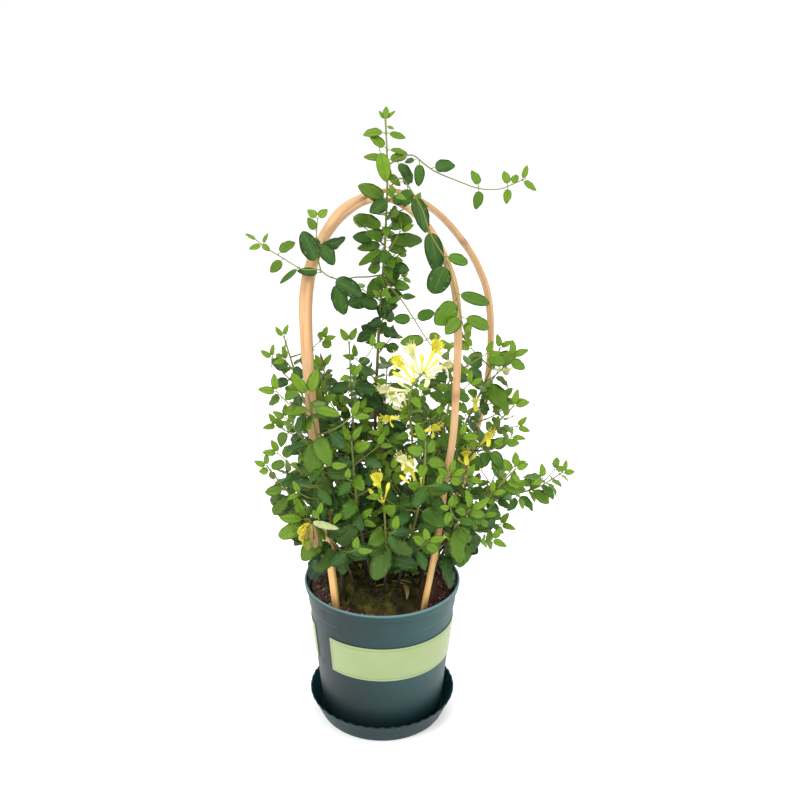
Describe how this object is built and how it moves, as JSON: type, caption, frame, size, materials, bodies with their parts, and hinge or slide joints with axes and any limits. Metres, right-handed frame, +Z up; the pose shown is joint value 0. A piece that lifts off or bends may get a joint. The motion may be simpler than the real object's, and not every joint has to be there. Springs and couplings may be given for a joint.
{
  "type": "potted honeysuckle",
  "caption": "Climbing honeysuckle with two-lipped white and yellow blooms, trained over two crossed bamboo hoops in a tapered plastic pot on a scalloped saucer.",
  "frame": {"origin": "centre of the saucer's underside", "axes": "+Z up along the pot's axis, -Y towards the front that the picture shows, +X to its right"},
  "size_m": [0.35, 0.2641, 0.7031],
  "materials": {
    "pot_plastic": "satin, slate teal",
    "saucer_plastic": "satin, slate teal",
    "label": "smooth, pale lime",
    "soil": "damp, crumbly",
    "bamboo": "smooth, split cane",
    "foliage": "satin leaf",
    "fresh_petal": "soft petal",
    "aged_petal": "soft petal"
  },
  "bodies": {
    "root": {"pot": "pot_plastic", "saucer": "saucer_plastic", "label_front": "label", "label_back": "label", "soil": "soil", "hoop_left": "bamboo", "hoop_right": "bamboo", "leader_stem": "foliage", "left_vine": "foliage", "left_high": "foliage", "left_mid": "foliage", "mid_left": "foliage", "left_low": "foliage", "left_low_front": "foliage", "front_left": "foliage", "front_low": "foliage", "front_right": "foliage", "flower_stem": "foliage", "right_spray": "foliage", "right_long": "foliage", "right_mid": "foliage", "right_high": "foliage", "right_inner": "foliage", "right_low": "foliage", "back_left": "foliage", "back_centre": "foliage", "back_right": "foliage", "back_low_left": "foliage", "back_low_right": "foliage", "seedling": "foliage", "bloom_top_right": "fresh_petal", "bloom_upright": "fresh_petal", "bloom_left": "fresh_petal", "bloom_front": "fresh_petal", "bloom_low_white": "fresh_petal", "bloom_centre_white": "fresh_petal", "bloom_high_white": "fresh_petal", "bloom_top": "aged_petal", "bloom_top_left": "aged_petal", "bloom_low_yellow": "aged_petal", "bloom_under_hoop": "aged_petal", "bloom_heart": "aged_petal", "bloom_centre": "aged_petal", "bloom_right": "aged_petal", "bloom_right_far": "aged_petal", "bloom_high": "aged_petal"}
  },
  "joints": []
}
